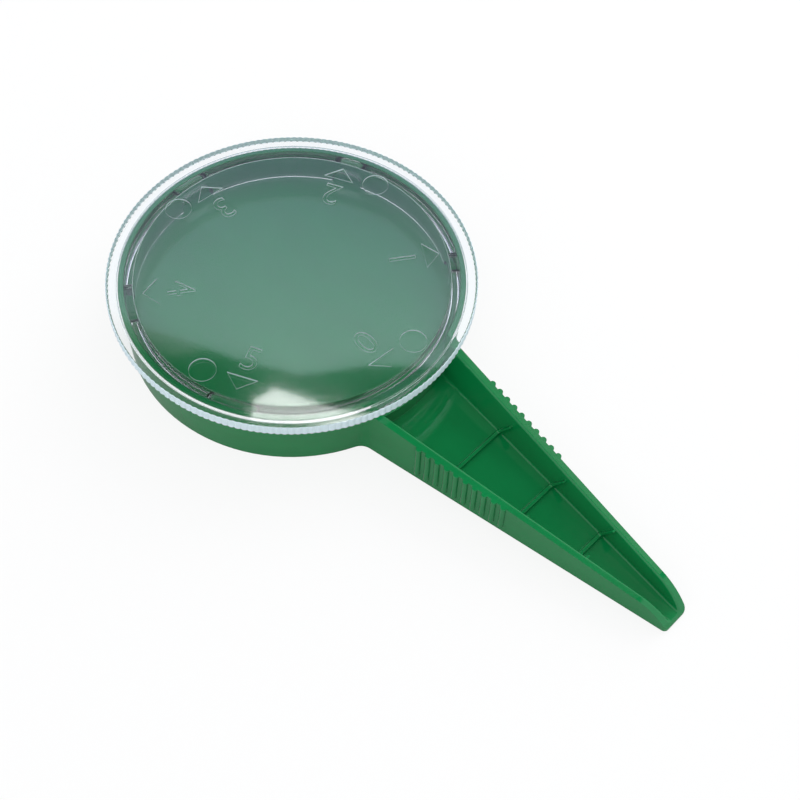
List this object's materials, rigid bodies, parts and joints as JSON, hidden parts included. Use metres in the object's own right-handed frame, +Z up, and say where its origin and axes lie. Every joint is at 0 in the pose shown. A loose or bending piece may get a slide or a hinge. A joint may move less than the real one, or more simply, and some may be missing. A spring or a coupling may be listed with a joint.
{
  "type": "dial seed sower",
  "caption": "Hand seed sower: a round seed cup with a tapering pouring trough, and a clear dial whose collar has notches that let seeds of growing size through.",
  "frame": {"origin": "middle of the whole sower's bounding box, on the plane that it rests on", "axes": "+X along the trough towards its tip, +Z up out of the dial; the dial's axis is vertical, 31.6 mm towards -X from the origin"},
  "size_m": [0.1382, 0.075, 0.0153],
  "materials": {
    "green_plastic": "gloss",
    "clear_plastic": "clear gloss"
  },
  "bodies": {
    "sower": {"sower_body": "green_plastic"},
    "dial": {"clear_dial": "clear_plastic"}
  },
  "joints": [
    {"name": "dial_turn", "type": "hinge", "parent": "sower", "child": "dial", "pos_m": [-0.0316, 0, 0.014], "axis": [0, 0, 1], "continuous": true}
  ]
}
